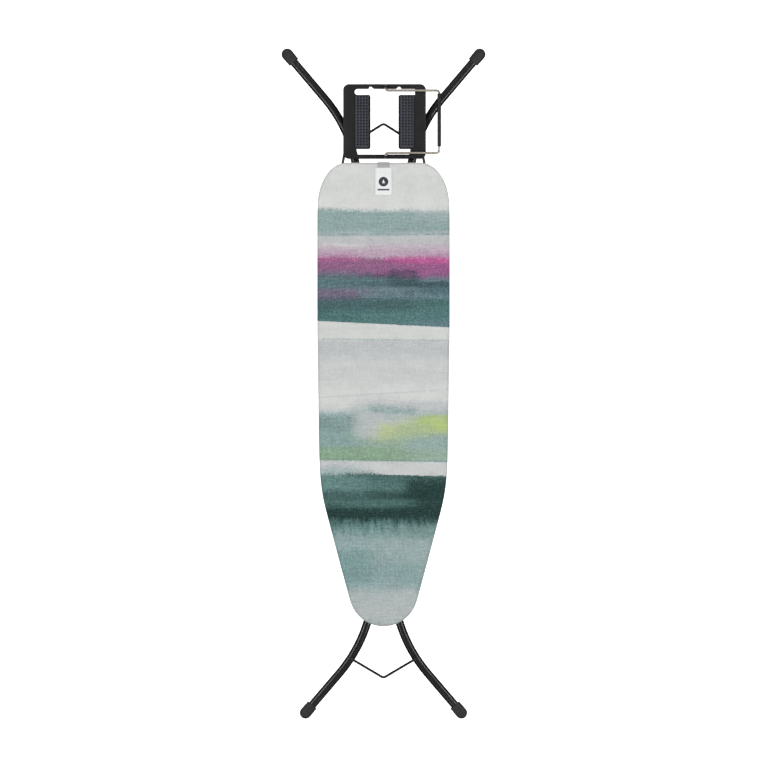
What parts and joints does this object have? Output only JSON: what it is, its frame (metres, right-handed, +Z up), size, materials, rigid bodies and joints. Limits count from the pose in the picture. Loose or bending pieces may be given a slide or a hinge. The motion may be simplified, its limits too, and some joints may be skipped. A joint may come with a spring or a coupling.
{
  "type": "ironing board",
  "caption": "Folding ironing board with crossing tube legs, padded cloth cover, iron rest with swing-up wire stop and height lock bar, stored folded flat.",
  "frame": {"origin": "on the surface that the folded board's feet lie on, under the middle of the part", "axes": "+Y runs from the nose of the board to the iron rest, +Z is up, out of the ironing face"},
  "size_m": [0.489, 1.606, 0.0669],
  "materials": {
    "printed_cotton": "matte",
    "felt_padding": "matte",
    "galvanised_mesh": "satin",
    "black_powder_coat": "gloss",
    "satin_black_plate": "satin",
    "zinc_hardware": "satin",
    "nickel_wire": "polished",
    "black_rubber": "matte",
    "black_plastic": "satin",
    "label_cloth": "matte",
    "tab_cloth": "matte"
  },
  "bodies": {
    "board": {"cover": "printed_cotton", "underlay_pad": "felt_padding", "mesh_top": "galvanised_mesh", "board_rim": "black_powder_coat", "hinge_rib": "black_powder_coat", "rail_front_rib": "black_powder_coat", "rail_middle_rib": "black_powder_coat", "rail_rear_rib": "black_powder_coat", "rest_rib": "black_powder_coat", "guide_rail_left": "black_powder_coat", "guide_rail_right": "black_powder_coat", "rail_stop_left": "black_rubber", "rail_stop_right": "black_rubber", "leg_hinge_bracket_left": "black_powder_coat", "leg_hinge_bracket_right": "black_powder_coat", "leg_hinge_rod": "zinc_hardware", "lock_hinge_rod": "zinc_hardware", "lock_hinge_block_front": "black_plastic", "lock_hinge_block_rear": "black_plastic", "lock_spring": "zinc_hardware", "cover_label": "label_cloth", "label_tab": "tab_cloth", "iron_rest_frame": "satin_black_plate", "iron_rest_pad_left": "black_rubber", "iron_rest_pad_right": "black_rubber", "iron_rest_rod_left": "black_powder_coat", "iron_rest_rod_right": "black_powder_coat", "iron_rest_socket_left": "black_plastic", "iron_rest_socket_right": "black_plastic", "iron_stop_clip_rear": "black_powder_coat", "iron_stop_clip_front": "black_powder_coat"},
    "outer_leg": {"outer_leg_tube_left": "black_powder_coat", "outer_leg_tube_right": "black_powder_coat", "outer_leg_foot_cap_left": "black_plastic", "outer_leg_foot_cap_right": "black_plastic", "outer_leg_brace": "black_powder_coat", "outer_leg_lug_left": "black_powder_coat", "outer_leg_lug_right": "black_powder_coat", "outer_leg_hinge_tube": "black_powder_coat", "crossing_rod": "zinc_hardware", "crossing_spacer_left": "black_plastic", "crossing_spacer_right": "black_plastic"},
    "inner_leg": {"inner_leg_tube_left": "black_powder_coat", "inner_leg_tube_right": "black_powder_coat", "inner_leg_foot_cap_left": "black_plastic", "inner_leg_foot_cap_right": "black_plastic", "inner_leg_brace": "black_powder_coat", "inner_leg_lug_left": "black_powder_coat", "inner_leg_lug_right": "black_powder_coat", "inner_leg_crossbar": "black_powder_coat"},
    "glides": {"glide_axle": "zinc_hardware", "glide_shoe_left": "black_plastic", "glide_shoe_right": "black_plastic"},
    "release": {"lock_bar": "black_powder_coat", "release_lever": "black_powder_coat", "release_grip": "black_plastic"},
    "iron_stop": {"iron_stop_wire": "nickel_wire", "iron_stop_sleeve": "black_plastic"}
  },
  "joints": [
    {"name": "outer_leg_fold", "type": "hinge", "parent": "board", "child": "outer_leg", "pos_m": [0, -0.379, 0.033], "axis": [-1, 0, 0], "range_deg": [0, 50]},
    {"name": "leg_crossing", "type": "hinge", "parent": "outer_leg", "child": "inner_leg", "pos_m": [0, 0, 0.0135], "axis": [-1, 0, 0], "range_deg": [-100, 0]},
    {"name": "glide_turn", "type": "hinge", "parent": "inner_leg", "child": "glides", "pos_m": [0, 0.379, 0.033], "axis": [-1, 0, 0], "range_deg": [0, 50]},
    {"name": "height_release", "type": "hinge", "parent": "board", "child": "release", "pos_m": [-0.025, 0.25, 0.0475], "axis": [0, -1, 0], "range_deg": [-7, 5], "stiffness_Nm_per_rad": 3},
    {"name": "iron_stop_swing", "type": "hinge", "parent": "board", "child": "iron_stop", "pos_m": [0.0048, 0.625, 0.0463], "axis": [0, -1, 0], "range_deg": [0, 75]}
  ],
  "couplings": [
    {"joint": "leg_crossing", "follows": "outer_leg_fold", "ratio": -2},
    {"joint": "glide_turn", "follows": "outer_leg_fold", "ratio": 1}
  ]
}
